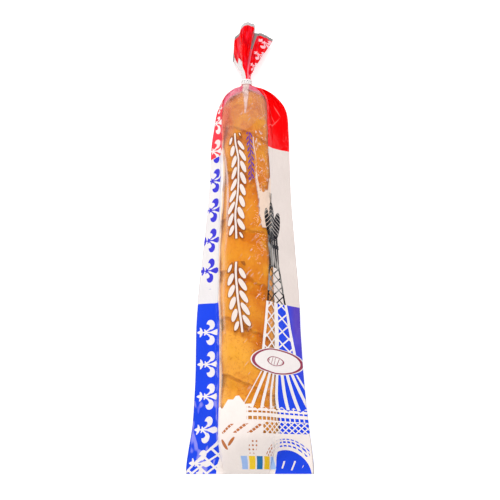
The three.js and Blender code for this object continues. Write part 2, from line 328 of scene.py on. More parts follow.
def loaf_surface(rows=560, columns=176):
    """Crust points: rows run from end to end, closer together at the ends, and columns turn around the
    loaf. The section is a superellipse, nearly flat below; relief moves a point along its radius."""
    v = np.linspace(0.0, 1.0, rows)[:, None]
    low, high = LOAF_ENDS[0] + 4.0, LOAF_ENDS[1] - 1.0
    y = mix(low, high, 0.55 * v + 0.45 * (0.5 - 0.5 * np.cos(np.pi * v)))
    turn = np.linspace(np.pi, -np.pi, columns, endpoint=False)[None, :]
    low_tip = arch((low + 30.0 - y) / 30.0, 2.2)
    tip = low_tip * arch((y - high + 52.0) / 52.0, 1.9)
    rounder = ease(y, 130.0, 168.0)
    plan = along([stop for stop in LOAF_PLAN if -245 < stop[0] < 160], y)
    half = (LOAF_HALF * plan - SIDE_GAP) * low_tip * arch((y - high + 33.0) / 33.0, 2.5)
    waist = along([(low, 15), (-235, 20), (150, 21), (high, 25)], y)
    crown = (along(CROWN, np.clip(y, -244, 150)) - CRUST_GAP - waist) * tip
    keel = (waist - 0.6) * tip ** 0.8
    out, up = np.cos(turn), np.sin(turn)
    fuller = RIGHT_SWELL * ease(y, -266, -225) * (1.0 - ease(y, 90, 150)) * np.clip(out, 0, 1)
    across = half * np.sign(out) * np.abs(out) ** (0.92 + 0.08 * rounder) + fuller
    lift = np.where(up > 0, crown * np.abs(up) ** (0.95 + 0.12 * rounder), -keel * np.abs(up) ** 0.62)
    phase = slash_phase(across, y + 0 * across)
    face = ease(up, -0.15, 0.45) * ease(y, low + 12, low + 34) * (1 - ease(y, 128, 160))
    lump = 0.5 - 0.5 * np.cos(2 * np.pi * np.clip(phase / 0.72, 0, 1))
    crumbs = crease_noise(across / 3.1, y / 2.6, 21) + 0.6 * crease_noise(across / 1.7, y / 1.4, 22)
    opened = opening(phase) * face
    lip = np.exp(-((phase - LIP) / 0.02) ** 2) * face
    relief = (face * (1.5 * lump - 0.9) - opened * (2.0 - 0.55 * crumbs) + 0.9 * lip
              + 0.5 * smooth_noise(across / 16.0, y / 19.0, 31) * ease(up, -0.4, 0.2))
    scale = 1.0 + np.minimum(relief, CRUST_GAP - 0.7) / 33.0 * ease(tip, 0, 0.3)
    z = waist + lift * np.where(up > 0, scale, 1.0)
    film_over = layer_height(across * scale, y, half_width(y) - loaf_reach(y)[1], 1, 1)[0]
    under_tent = (out > 0) & (up > 0) & (across > 0.5 * half)
    z = np.where(under_tent, np.minimum(z, film_over - 2.0 + 0.4 * relief), z)
    flank = 1.0 - ease(up, 0.35, 0.88) + 0 * across
    return (LOAF_X + across * scale, y + 0 * across, np.maximum(z, 0.6), opened, lip, lump * face,
            flank)


loaf_x, loaf_y, loaf_z, loaf_open, loaf_lip, loaf_lump, loaf_flank = loaf_surface()
loaf = grid_mesh("loaf", loaf_x, loaf_y, loaf_z, close_ends=(True, True))

# %% [markdown]
# The film is a flat tube, 300 mm round, with a welded lower end. Over the loaf it lies close, and
# beside the loaf its two layers meet in a flat slack wing. The film cannot stretch, so its print keeps
# its width: the grid carries each point's distance round the bag (s) and along it (t), and the print is
# drawn in those. Towards the neck the same film has to fit a narrow opening, so it gathers in folds.
# A cloth simulation could drape it, but then nobody knows where the print ends up. So the two layers
# are worked out row by row along the pack, each as a curve across it.

# %% The film's plain form
FRONT, BACK = 134, 62       # grid columns on the two sides
CORE_SHARE = 0.66           # share of a side's columns that lies on the loaf
TAIL_DROP = 9.0             # how far the end of the tail hangs below the neck
TAIL_SHORT = [(-1, 45), (-0.95, 33), (-0.92, 19), (-0.69, 15.5), (-0.63, 7.5), (-0.41, 3), (-0.1, 4.5),
              (0.11, 7.5), (0.16, 13), (0.28, 13), (1, 20.5)]
TAIL_RISE = [(-1, -5), (-0.95, -4.5), (-0.92, -1), (-0.72, 0), (-0.64, 4), (-0.3, 6.5), (0.08, 4.5),
             (0.16, -2), (0.3, -4), (0.55, -1), (0.8, 1.5), (1, -2)]
TAIL_SWAY = [(-1, 0), (-0.1, 0), (0.02, -0.5), (0.11, -0.5), (0.17, -5.5), (0.3, -3.5), (0.5, -2),
             (1, 0)]


def station_rows():
    """Places along the bag: close together where the film is folded, wider on the straight body."""
    spans = [(SEAL_Y, -240, 26), (-240, 138, 118), (138, NECK_FROM, 33), (NECK_FROM, NECK_TO, 5),
             (NECK_TO, TAIL_Y, 46)]
    parts = [np.linspace(a, b, n, endpoint=False) for a, b, n in spans]
    return np.concatenate(parts + [[TAIL_Y]])


def bag_section(y, u, side):
    """One layer of the bag: x from the bag's middle, height, and how much of the point lies on the
    slack wing. u runs from -1 at the left edge to 1 at the right, and side is 1 for the layer over the
    loaf, -1 for the one below it. Loaf profile and slack wing meet in a soft corner."""
    half = half_width(y)
    loaf_half, middle = loaf_reach(y)
    inner = np.minimum(loaf_half, 0.8 * half)
    reach_u = np.abs(u)
    tip = half - np.sign(u) * middle
    across = np.where(reach_u <= CORE_SHARE, inner * np.sin(0.5 * np.pi * reach_u / CORE_SHARE),
                      mix(inner, tip, (reach_u - CORE_SHARE) / (1 - CORE_SHARE)))
    across = mix(across, half * reach_u, ease(y, NECK_TO, NECK_TO + 12))
    height, wing, beside = layer_height(across, y, tip, u > 0, side)
    gap = 0.7 * (1 - ease(reach_u, 0.9, 1.0)) * ease(y, SEAL_Y, SEAL_Y + 12) + 0.12
    height = side * np.maximum(side * height, side * wing + gap)
    height = mix(height, wing, ease(reach_u, 0.97, 1.0))
    x = np.sign(u) * across + middle
    # past the neck: a flat bundle that opens into the tail
    run = ease(y, NECK_TO, TAIL_Y)
    flatter = 1 - 0.62 * ease(y, NECK_TO + 2, NECK_TO + 40)
    plump = NECK_HALF[1] * flatter * np.sqrt(1 - (0.97 * x / half) ** 2)
    bundle = NECK_Z - run * (TAIL_DROP + 5 * u * u) + side * plump
    return x, np.where(y > NECK_Y, bundle, height), beside * (y < NECK_Y)


def both_sides(y):
    """The whole bag: x, height, share on the wing and u, for the front layer from left to right, then
    for the back layer from right to left."""
    u_front = np.linspace(-1, 1, FRONT + 1)[None, :-1] + 0 * y
    u_back = np.linspace(1, -1, BACK + 1)[None, :-1] + 0 * y
    front = (*bag_section(y, u_front, 1), u_front)
    back = (*bag_section(y, u_back, -1), u_back)
    return [np.hstack(pair) for pair in zip(front, back)]


film_y = station_rows()[:, None]
film_x, film_z, film_wing, film_u = both_sides(film_y)
film_t = film_y + 0 * film_x
print("film grid:", film_x.shape[0], "rows of", film_x.shape[1], "points")

# %% [markdown]
# Each point also needs its place in the flat bag's print. The bag was pulled on a little askew, so its
# clear window wanders to and fro along the loaf. The window's two borders are given along the bag, and
# the print between them stretches a little to fit.

# %% Where the print lies
WINDOW_HALF = 41.0          # the clear window's half width in the print
WINDOW_LEFT = [(-287, -39.5), (-250, -39), (-205, -34.6), (-147, -33.8), (-86, -38.4), (-54, -42.2),
               (7, -42.2), (35, -38), (80, -37.4), (106, -43.0), (126, -45.4), (145, -52.8),
               (165, -65), (180, -71)]
WINDOW_RIGHT = [(-250, 38.3), (-205, 35), (-147, 37), (-93, 36), (-28, 33.8), (16, 32.5), (96, 30.8),
                (125, 29.5), (140, 27), (155, 27), (172, 28.5)]
PRINT_AT_LEFT_EDGE = [(-287, -77), (-120, -75), (-44, -73), (-8, -71.5), (30, -69), (69, -68.5)]


def print_distance(x, z, y):
    """Distance round the bag from the middle of its front, in the flat bag's millimetres: the path
    along the section, scaled to the flat width, then moved so that the window's borders lie where they
    should. In the tail it is the column's own place."""
    step = np.hypot(np.diff(x, axis=1, append=x[:, :1]), np.diff(z, axis=1, append=z[:, :1]))
    path = np.hstack([np.zeros((len(x), 1)), np.cumsum(step, axis=1)])
    front, total = path[:, FRONT:FRONT + 1], path[:, -1:]
    number = np.arange(path.shape[1])[None, :]
    even = FLAT_HALF * np.where(number <= FRONT, 2 * number / FRONT - 1, 1 + 2 * (number - FRONT) / BACK)
    on_front = FLAT_HALF * (2 * path / front - 1)
    left, right, rim = along(WINDOW_LEFT, y), along(WINDOW_RIGHT, y), along(PRINT_AT_LEFT_EDGE, y)
    left_of = mix(rim, -WINDOW_HALF, (on_front + FLAT_HALF) / (left + FLAT_HALF))
    within = mix(-WINDOW_HALF, WINDOW_HALF, (on_front - left) / (right - left))
    right_of = mix(WINDOW_HALF, FLAT_HALF, (on_front - right) / (FLAT_HALF - right))
    askew = np.where(on_front < left, left_of, np.where(on_front < right, within, right_of))
    on_back = FLAT_HALF * (1 + 2 * (path - front) / (total - front))
    return mix(np.where(number <= FRONT, askew, on_back), even, ease(y, NECK_FROM - 10, NECK_FROM + 2))


film_s = print_distance(film_x, film_z, film_y)
print("film is", round(float(film_s[0, FRONT] - film_s[0, 0]), 1), "mm wide when flat")

# %% [markdown]
# Now the film gets its folds. Pleats run out from the neck over the shoulder and die away, and others
# open into the tail, whose broad lobe stands in front of a lower one. The slack wings ripple, both
# layers together. All over, stiff film breaks into small flat facets with sharp creases between them.
# All of these are heights added to the plain form, so they can't cut into the loaf or stretch the film.

# %% The film's folds and facets
PLEATS = 9


def neck_folds(u, y):
    """Height of the folds at column u: uneven waves that are zero on the band and grow away from it."""
    away = np.abs(y - NECK_Y) - 4.0
    wave = (np.sin(u * np.pi * PLEATS * 0.5 + 1.1 * np.sin(2.3 * u + 0.6))
            + 0.45 * np.sin(u * np.pi * PLEATS * 0.93 + 2))
    fine = np.abs(((u * 13.0 + 0.8 * np.sin(5 * u)) % 1.0) - 0.5) * 4.0 - 1.0
    tail = (along(TAIL_RISE, u) + 0.8 * wave + 0.45 * fine) * ease(away, 0, 46)
    shoulder = (1.7 * wave + 0.7 * fine) * ease(away, 0, 10) * (1 - ease(away, 12, 62))
    return np.where(away <= 0, 0.0, np.where(y > NECK_Y, tail, shoulder))


def crumple(s, t, size, seed):
    """Facets about size across: crease noise on a turned net that smooth noise has pushed about."""
    push = smooth_noise(s / 31.0, t / 37.0, seed), smooth_noise(s / 29.0 + 9, t / 33.0, seed + 1)
    a, b = s + 6 * push[0], t + 8 * push[1]
    return crease_noise((0.87 * a + 0.5 * b) / size, (0.87 * b - 0.5 * a) / (1.5 * size), seed + 2)


def fold_film():
    """The plain form with its folds: heights change together on both layers of a wing, and over the
    loaf the film only lifts off the crust or settles a little."""
    s, t = film_s[:, :-1], film_t
    side = np.where(np.arange(FRONT + BACK)[None, :] < FRONT, 1.0, -1.0)
    body = (1 - ease(t, NECK_FROM - 4, NECK_FROM)) * ease(t, SEAL_Y, SEAL_Y + 14)
    x, z = film_x + along(CENTRE_X, film_y), film_z.copy()
    z += neck_folds(film_u, t) * np.where((side < 0) & (t < NECK_Y), 0.7, 1.0)
    edge = ease(np.abs(film_u), 0.62, 1) * ease(t, SEAL_Y, SEAL_Y + 30) * (1 - ease(t, 146, 184))
    lean = np.sign(film_u)
    z += edge * (1.3 * np.sin(t / 13 + lean) + 0.9 * np.sin(t / 7.3 + 2.1 * lean))
    wing_x = np.abs(x)
    z += body * film_wing * (1.3 * crumple(wing_x, t + 400 * (lean > 0), 15.0, 41)
                             + 0.5 * crumple(wing_x, t + 300 * (lean > 0), 6.0, 47))
    on_loaf = body * (1 - film_wing) * (side > 0)
    lift = 0.75 + 0.75 * crumple(s, t, 13.0, 53) + 0.35 * crumple(s, t, 5.5, 59)
    turn = 2 * np.pi * (t + SLASH_LEAN * s * 0.7 - SLASH_START - 0.84 * SLASH_PITCH) / SLASH_PITCH
    dip = (0.5 + 0.5 * np.cos(turn)) ** 2.2
    lift = np.maximum(lift - 1.1 * dip * (1 - ease(t, 130, 165)) * ease(t, -255, -225), -0.35)
    step_x = np.gradient(x, axis=1)
    tilt = np.clip(np.gradient(z, axis=1) / np.where(np.abs(step_x) < 0.05, 0.05, step_x), -4, 4)
    size = np.sqrt(1 + tilt ** 2)
    lift *= 0.35 + 0.65 / size
    x += on_loaf * lift * -tilt / size
    z += on_loaf * lift / size
    in_tail = ease(t, NECK_TO + 3, NECK_TO + 40)
    z += in_tail * (0.8 * crumple(s, t, 9.0, 61) + 0.4 * crumple(s, t, 4.0, 67))
    x += in_tail * 0.9 * crumple(s, t + 50, 11.0, 71) + ease(t, 215, 262) * along(TAIL_SWAY, film_u)
    x += (3.2 * np.exp(-((t - 230) / 11) ** 2) - 1.5 * ease(t, 255, 275)) * ease(-film_u, 0.5, 0.95)
    reach = TAIL_Y - NECK_TO
    share = (reach - np.maximum(along(TAIL_SHORT, film_u), 0)) / reach
    y = np.where(t <= NECK_TO, t, NECK_TO + (t - NECK_TO) * share)
    return x, y, np.maximum(z, 0.25)


bag_x, bag_y, bag_z = fold_film()
print_length = np.hstack([film_t, film_t[:, :1]])
film = grid_mesh("film", bag_x, bag_y, bag_z, close_ends=(True, False), uv=(film_s, print_length))
wall = film.modifiers.new("film thickness", "SOLIDIFY")
wall.thickness = 0.12 * MM
wall.offset = -1.0

# %% [markdown]
# Materials are node trees, and long node trees are hard to read. So shader maths is written here as
# Python: a Num wraps a socket, and each operator used on it adds one Math node. A swapped subtraction
# lets 1 - mask work as well as mask - 1.

# %% Shader maths as Python expressions
def operator(operation, swapped=False):
    """A method for Num that adds one Math node of that operation. swapped puts the other value first."""
    def method(self, other):
        pair = (other, self) if swapped else (self, other)
        return self.finish.math(operation, *pair)
    return method


class Num:
    """A number that varies over a surface. Operators on it add Math nodes; & and | are the smaller and
    the larger of two, which cut and join shapes given as depths inside their outline."""

    def __init__(self, finish, socket):
        self.finish, self.socket = finish, socket

    __add__ = __radd__ = operator("ADD")
    __sub__ = operator("SUBTRACT")
    __rsub__ = operator("SUBTRACT", swapped=True)
    __mul__ = __rmul__ = operator("MULTIPLY")
    __truediv__ = operator("DIVIDE")
    __pow__ = operator("POWER")
    __mod__ = operator("FLOORED_MODULO")
    __gt__ = operator("GREATER_THAN")
    __lt__ = operator("LESS_THAN")
    __and__ = operator("MINIMUM")
    __or__ = operator("MAXIMUM")

    def __abs__(self):
        return self.finish.math("ABSOLUTE", self)

    def __neg__(self):
        return self * -1.0


print("operators on a number:", sum(name.startswith("__") for name in vars(Num)))

# %% [markdown]
# A Finish is one material. Its node method adds any node: type, settings first, then sockets. The
# methods after it are short names for the nodes used most. Colours are written as on a screen, 0 to
# 255, and turned into the linear ones that shaders use.

# %% A material and its nodes
def srgb(red, green, blue):
    """A screen colour, 0 to 255, as a linear colour."""
    share = np.array([red, green, blue]) / 255.0
    linear = np.where(share <= 0.04045, share / 12.92, ((share + 0.055) / 1.055) ** 2.4)
    return tuple(float(c) for c in linear)


class Finish:
    """One material and the nodes in it."""

    def __init__(self, name):
        self.material = bpy.data.materials.new(name)
        self.material.use_nodes = True
        self.tree = self.material.node_tree
        self.tree.nodes.clear()

    def node(self, kind, settings=None, sockets=None):
        """A node of that kind. Settings are set first, then socket values or links by name or number."""
        made = self.tree.nodes.new("ShaderNode" + kind)
        for key, value in (settings or {}).items():
            setattr(made, key, value)
        for key, value in (sockets or {}).items():
            socket = made.inputs[key]
            if isinstance(value, Num):
                value = value.socket
            if isinstance(value, bpy.types.NodeSocket):
                self.tree.links.new(value, socket)
            elif isinstance(value, tuple) and socket.type == "RGBA":
                socket.default_value = (*value[:3], 1.0)
            else:
                socket.default_value = value
        return made

    def math(self, operation, *values):
        made = self.node("Math", {"operation": operation}, dict(enumerate(values)))
        return Num(self, made.outputs[0])

    def clamp(self, value, low=0.0, high=1.0):
        """Value's place between low and high, kept from 0 to 1."""
        made = self.node("MapRange", {"clamp": True}, {0: value, 1: low, 2: high, 3: 0.0, 4: 1.0})
        return Num(self, made.outputs[0])

    def blend(self, share, a, b):
        """A colour between a and b. Each is a screen colour or a colour made earlier."""
        a, b = (srgb(*tint) if isinstance(tint, tuple) else tint for tint in (a, b))
        return self.node("Mix", {"data_type": "RGBA"}, {0: share, 6: a, 7: b}).outputs[2]

    def paint(self, colour, *coats):
        """Lays coats over a colour, one after the other. Each is a share and its tint."""
        for share, tint in coats:
            colour = self.blend(share, colour, tint)
        return colour

    def place(self, scale=(1.0, 1.0, 1.0), turn=0.0):
        """Object coordinates in millimetres, turned about Z and stretched."""
        where = self.node("TexCoord").outputs["Object"]
        millimetres = tuple(k / MM for k in scale)
        sockets = {"Vector": where, "Scale": millimetres, "Rotation": (0, 0, turn)}
        return self.node("Mapping", {}, sockets).outputs[0]

    def split(self, vector):
        """The first two numbers of a vector."""
        made = self.node("SeparateXYZ", {}, {0: vector})
        return Num(self, made.outputs[0]), Num(self, made.outputs[1])

    def noise(self, where, scale, detail=2.0, rough=0.5):
        sockets = {"Vector": where, "Scale": scale, "Detail": detail, "Roughness": rough}
        return Num(self, self.node("TexNoise", {}, sockets).outputs[0])

    def cell_edge(self, where, scale):
        """Distance to the nearest border between the cells of a cracked pattern."""
        sockets = {"Vector": where, "Scale": scale}
        made = self.node("TexVoronoi", {"feature": "DISTANCE_TO_EDGE"}, sockets)
        return Num(self, made.outputs["Distance"])

    def bump(self, height, distance, strength):
        sockets = {"Height": height, "Distance": distance * MM, "Strength": strength}
        return self.node("Bump", {}, sockets).outputs[0]

    def principled(self, colour, roughness, sockets):
        sockets = {"Base Color": colour, "Roughness": roughness, **sockets}
        return self.node("BsdfPrincipled", {}, sockets).outputs[0]

    def mix_shader(self, share, a, b):
        return self.node("MixShader", {}, {0: share, 1: a, 2: b}).outputs[0]

    def end(self, shader):
        self.node("OutputMaterial", {}, {"Surface": shader})
        print("material", self.material.name, "has", len(self.tree.nodes), "nodes")
        return self.material


print("screen grey 128 is", round(srgb(128, 128, 128)[0], 3), "in linear light")

# %% [markdown]
# Crust is not one brown. The swollen lumps are a light golden colour, their upper edges are deeper,
# and the rough opened strips are the darkest. The lumps' lighter crests are partly their bake and
# partly a painted highlight, and the darker strips are partly their bake and partly painted shade in
# the recess under each lip. A painted picture could show that. Here the mesh carries where these
# places are as attributes, and noise breaks them up, so the colour stays sharp up close and always
# lies on its own slash.

# %% What the loaf's mesh knows about its crust
for attribute, grid in (("opened", loaf_open), ("lip", loaf_lip), ("lump", loaf_lump),
                        ("flank", loaf_flank)):
    layer = loaf.data.attributes.new(attribute, "FLOAT", "POINT")
    values = np.zeros(len(loaf.data.vertices))
    values[:grid.size] = grid.ravel()
    layer.data.foreach_set("value", values)
    print(attribute, "covers", round(float(np.mean(values > 0.5)) * 100), "% of the loaf")

# %% [markdown]
# The colour goes on in coats: first a base between light and gold, lighter on the lumps' crests as
# partly a painted highlight, then a lighter near end, which is painted light, then patches of brown
# that lean towards the hollows, then the opened strips and their lips. The brown in the hollows and
# strips is partly the crust's own colour and partly painted shade. Strips and lips are fainter on the
# flanks, which keeps the steep flanks lighter: painted light.

# %% Crust: base coats, with painted highlight, shade and light
crust = Finish("golden crust")
opened, lip, lump, flank = (
    Num(crust, crust.node("Attribute", {"attribute_name": name}).outputs["Fac"])
    for name in ("opened", "lip", "lump", "flank"))
crust_place = crust.place()
rightward, far_end = crust.split(crust_place)
cloud = crust.noise(crust_place, 0.045, 3)
blotch = crust.noise(crust_place, 0.16, 4, 0.6)
spots = crust.noise(crust_place, 0.33, 3, 0.65)
grain = crust.noise(crust_place, 0.9, 3, 0.6)
along_loaf = crust.noise(crust.place((0.5, 0.12, 0.5)), 0.6, 3)
LIGHT, GOLD, BROWN, DARK = (243, 162, 48), (224, 122, 16), (194, 92, 10), (150, 66, 10)

# Lower on the lumps, so their crests go lighter: partly bake, partly a painted highlight.
bake_and_crest_light = crust.clamp(cloud * 0.9 + blotch * 0.6 + along_loaf * 0.35 - lump * 0.18, 0.62, 1.25)
# Painted light: the near end is lighter, most of all on its left.
near_end_light = crust.clamp(-far_end, 70, 135) * (1 - 0.7 * crust.clamp(rightward, -6, 10))
deep = crust.clamp(-far_end, 80, 105) * crust.clamp(rightward, -4, 8)
deep = deep * (1 - crust.clamp(-far_end, 140, 170))
toasted = crust.clamp(far_end, -125, -90) * crust.clamp(-far_end, -60, 50)
on_top = 1 - 0.6 * flank
# Opened strips, darker: partly their own colour, partly painted shade under the lips.
strips_and_shade = crust.clamp(opened * (0.45 + 0.7 * grain), 0.05, 1) * (0.36 + 0.38 * toasted) * on_top
crust_colour = crust.paint(
    crust.blend(bake_and_crest_light, LIGHT, GOLD),
    (near_end_light * 0.45, (252, 184, 74)),
    (deep * 0.6, (202, 98, 2)),
    (crust.clamp(blotch - 0.15 * lump, 0.5, 0.85) * 0.75, BROWN),
    (crust.clamp(spots, 0.56, 0.7) * 0.5, BROWN),
    (strips_and_shade, BROWN),
    # Lighter lump crests: partly bake, partly a painted highlight.
    (crust.clamp(lump, 0.55, 1) * 0.3, (250, 176, 50)),
    (crust.clamp(lip * (0.3 + blotch), 0.2, 0.9) * 0.65 * on_top, DARK))
print("crust so far:", len(crust.tree.nodes), "nodes")

# %% [markdown]
# Broad tints come last. The far end is redder, the middle deeper on its right, golden clouds drift over
# all of it, and fine cracks follow the cells of the skin. The steep flanks are painted lighter, and
# pinker at the far end: painted light where they fall into shade. Bump gives the skin its pores.

# %% Crust: broad tints, painted light on the flanks, cracks and skin
far_tint = crust.blend(crust.clamp(blotch, 0.4, 0.6), (214, 122, 52), (188, 92, 46))
middle = 1 - crust.clamp(abs(far_end + 10), 60, 115)
deep_right = crust.clamp(rightward, 0, 14) * (1 - crust.clamp(cloud, 0.46, 0.54))
deep_right = deep_right * (1 - crust.clamp(abs(far_end - 5), 60, 100))
cracks = crust.cell_edge(crust.place((1, 0.7, 1), 0.3), 0.12) + 0.16 * (blotch - 0.5)
cracks = 1 - crust.clamp(cracks, 0, 0.04)
crust_colour = crust.paint(
    crust_colour,
    (crust.clamp(far_end, 20, 140) * 0.56, far_tint),
    (middle * 0.42, (222, 120, 0)),
    (crust.clamp(cloud, 0.5, 0.6) * 0.5, (238, 164, 36)),
    (0.5 * deep_right, (214, 110, 0)),
    # Painted light: the steep flanks lighter, and pinker at the far end.
    (flank * 0.65 * (1 - crust.clamp(far_end, 70, 130)), (255, 205, 120)),
    (flank * 0.7 * crust.clamp(far_end, 90, 130), (250, 164, 124)),
    (cracks * crust.clamp(spots, 0.42, 0.6) * 0.45, BROWN))
pores = grain * 0.5 + blotch * 0.8 + crust.noise(crust_place, 2.2, 2) * 0.25 * (0.4 + opened)
skin = crust.principled(crust_colour, crust.clamp(0.42 + 0.25 * opened + 0.2 * grain), {
    "Normal": crust.bump(pores, 0.9, 0.55), "Specular IOR Level": 0.2})
loaf.data.materials.append(crust.end(skin))

# %% [markdown]
# The print is drawn in the flat bag's own millimetres: s runs across from the middle of its front, and
# t runs along it. A shape is a number: how deep a point lies inside its outline, above 0 inside. The
# smaller of two such numbers cuts two shapes to what they share, and the larger joins them. Whatever
# repeats, such as the lilies down the left side, is one shape in a coordinate that starts again and
# again. A picture wrapped round the bag could do the same, but drawn shapes stay sharp at any size. The
# bare numbers in the cells on the print are such places and sizes in millimetres.

# %% Shapes of the print
def far(x, y):
    """Distance of a point from the origin."""
    return (x * x + y * y) ** 0.5


def ellipse(x, y, half_x, half_y):
    """Depth inside an ellipse about the origin, in parts of its radius."""
    return 1 - far(x / half_x, y / half_y)


def turned(x, y, angle):
    """x and y seen from axes turned by an angle in degrees."""
    c, d = float(np.cos(np.radians(angle))), float(np.sin(np.radians(angle)))
    return x * c + y * d, y * c - x * d


def repeat(value, pitch):
    """Where value is in a row of equal steps, measured from the middle of its step."""
    return value % pitch - 0.5 * pitch


def trellis(s, t, pitch, line, lean):
    """Crossing slanted lines: depth inside a line of that half width."""
    return line - (abs(repeat(t + lean * s, pitch)) & abs(repeat(t - lean * s, pitch)))


def lens(x, y, start, end, width):
    """Depth inside a thin lens from start to end."""
    reach = float(np.hypot(end[0] - start[0], end[1] - start[1]))
    angle = float(np.degrees(np.arctan2(end[1] - start[1], end[0] - start[0])))
    run, over = turned(x - start[0], y - start[1], angle)
    return 4 * width * (run / reach) * (1 - run / reach) - abs(over)


print("seen from axes turned a quarter, 1, 0 is at", [round(c, 3) for c in turned(1, 0, 90)])

# %% [markdown]
# Film is drawn as one material with two shaders. Where there is ink it is a coloured gloss plastic, and
# where there is none it is clear. First comes where each point is on the bag: in front or behind, below
# the neck or in the tail. Then come the fields of colour that cover most of the film outside its window.

# %% Printed film: fields of colour
RED_FROM = 104            # the red field starts here, towards the neck
BLUE_LEFT, BLUE_RIGHT = -88, -91
WHITE, LEFT_WHITE, SHADED_RIGHT_WHITE = (240, 232, 230), (231, 226, 226), (228, 215, 209)
RED_INK, THIN_RED, DULL_RED = (242, 2, 6), (232, 66, 80), (150, 62, 84)
BLUE_INK, VIOLET, BLACK = (34, 72, 226), (84, 52, 165), (26, 24, 30)

ink = Finish("printed film")
s_round, t = (number / MM for number in ink.split(ink.node("UVMap", {"uv_map": "print"}).outputs[0]))
back = s_round > FLAT_HALF
s = s_round - 2 * FLAT_HALF * back
front = 1 - back
tail = t > NECK_Y
body = 1 - tail

to_left, to_right = ink.clamp(-s, WINDOW_HALF, FLAT_HALF), ink.clamp(s, WINDOW_HALF, FLAT_HALF)
red = t > RED_FROM - 8.5 * to_left + 4.08 * to_right
blue = t < BLUE_LEFT + (BLUE_RIGHT - BLUE_LEFT) * (s > 0) + 2 * to_left
white_zone = (1 - red) * (1 - blue)
# Painted shade: far out on the right wing the blue goes darker and violet.
right_blue_shade = blue * ink.clamp(s, 56, 68) * ink.clamp(t, -190, -120)
# Painted sheen: light lilac patches on the blue low on the left.
blue_sheen_patches = ink.clamp(ink.noise(ink.place((1, 0.45, 0.5), 0.7), 0.1, 1), 0.54, 0.6)
# Painted shade: the right half's white is the same ink painted darker, and warmer as painted light
# thrown back from the loaf.
colour = ink.paint(
    ink.blend(s > 0, LEFT_WHITE, SHADED_RIGHT_WHITE),
    (red, ink.blend(s < 0, RED_INK, THIN_RED)),
    (blue, BLUE_INK),
    (0.85 * right_blue_shade, (98, 70, 180)),
    (0.55 * blue_sheen_patches * (s < -45) * (t < -204), (176, 170, 240)))
covered = (abs(s) > WINDOW_HALF) | (back * red)
print("fields of colour:", len(ink.tree.nodes), "nodes so far")

# %% [markdown]
# Lilies run down the left side, one every 38.3 mm. The lily is an old heraldic ornament: a long petal,
# two curled ones beside it, a collar and a foot. They are blue on white, and white on red and on blue.

# %% Printed film: lilies
LILY_PITCH, LILY_START, LILY_S = 38.3, 69.2, -69.3


def lily(s, t):
    """A heraldic lily lying on its side, with its collar at s = 0: a long petal, two curled ones that
    start beside it and hook back, and a foot that is a smaller petal crossed by a short bar."""
    side = abs(t)
    petal = 3.8 - 3.8 * (((19.8 - s) / 11) | ((s - 19.8) / 8)) ** 1.3 - side
    curl = ellipse(s - 11, side - 9.4, 5.1, 5.9) & -ellipse(s - 6.6, side - 7, 3.4, 2.8)
    stalk = (1 - abs(side - 0.6 * (s - 3.5))) & (3.4 - abs(s - 7))
    stem = (0.8 - side) & (6.5 - abs(s - 4))
    collar = ellipse(s - 4.4 + 0.06 * side * side, side, 1.2, 3.9)
    foot = 2 - 2 * ((s + 2) / 4.2) ** 2 - side
    toes = ellipse(s + 0.4 + 0.05 * side * side, side, 1.7, 5.8)
    return petal | curl | stalk | stem | collar | foot | toes


lily_t = repeat(t + 24 * ink.clamp(t, 148, 168) - LILY_START + 0.5 * LILY_PITCH, LILY_PITCH)
lilies = lily(*turned((s - LILY_S) / 0.79, lily_t, -2)) > 0
lilies = lilies * (s < -WINDOW_HALF + 2) * (abs(t - BLUE_LEFT + 0.5) > 19) * front * body
colour = ink.blend(lilies, colour, ink.blend(white_zone, WHITE, (66, 62, 205)))
covered = covered | lilies
print("lilies:", len(ink.tree.nodes), "nodes so far")

# %% [markdown]
# Two white branches of wheat stand along the window, with a small violet one beside them. A branch is
# a stem with grains on alternate sides, and it shrinks towards its ends.

# %% Printed film: wheat branches
def ear_branch(s, t, pitch, grain, spread, taper):
    """A wheat branch along t: a stem with grains on alternate sides. grain is the half width and half
    length of one, spread its distance from the stem, and taper shrinks them where it falls below 1."""
    across, length = turned(abs(s) - spread, repeat(t + 0.5 * pitch * (s > 0), pitch), 27)
    grains = taper - (across / grain[0]) ** 2 - (length / grain[1]) ** 2
    stem = ((0.16 * grain[1] - abs(s)) / grain[0]) & taper
    return grains | stem


stem_s = s + 9.6 + 0.021 * t + 0.9 * ink.math("SINE", t / 17)
upper = ink.clamp(118 - t, 0, 22) & ink.clamp(t + 17, 0, 14)
lower = ink.clamp(-45 - t, 0, 18) & ink.clamp(t + 130, 0, 12)
branch = ear_branch(stem_s, t, 14.6, (3.1, 8.3), 7, upper | lower)
outline = (branch > -0.5) * (branch < 0.02) * (stem_s < 12) * (upper + lower > 0) * front
branch = (branch > 0.02) * front
tiny = ear_branch(s - 7 - 0.02 * t, t, 7.6, (0.8, 3.4), 2.7, ink.clamp((118 - t) & (t - 56)))
tiny = (tiny > 0.02) * front
colour = ink.paint(colour, (outline, (120, 62, 40)), (branch, (234, 220, 212)), (tiny, VIOLET))
covered = covered | branch | tiny | outline * 0.3
print("branches:", len(ink.tree.nodes), "nodes so far")

# %% [markdown]
# A sheaf of wheat stands on the window's right border. Its ears and its upper stalks are dark, with grey
# streaks of painted glare on them. Below them the stalks are white, and they spread like rays.

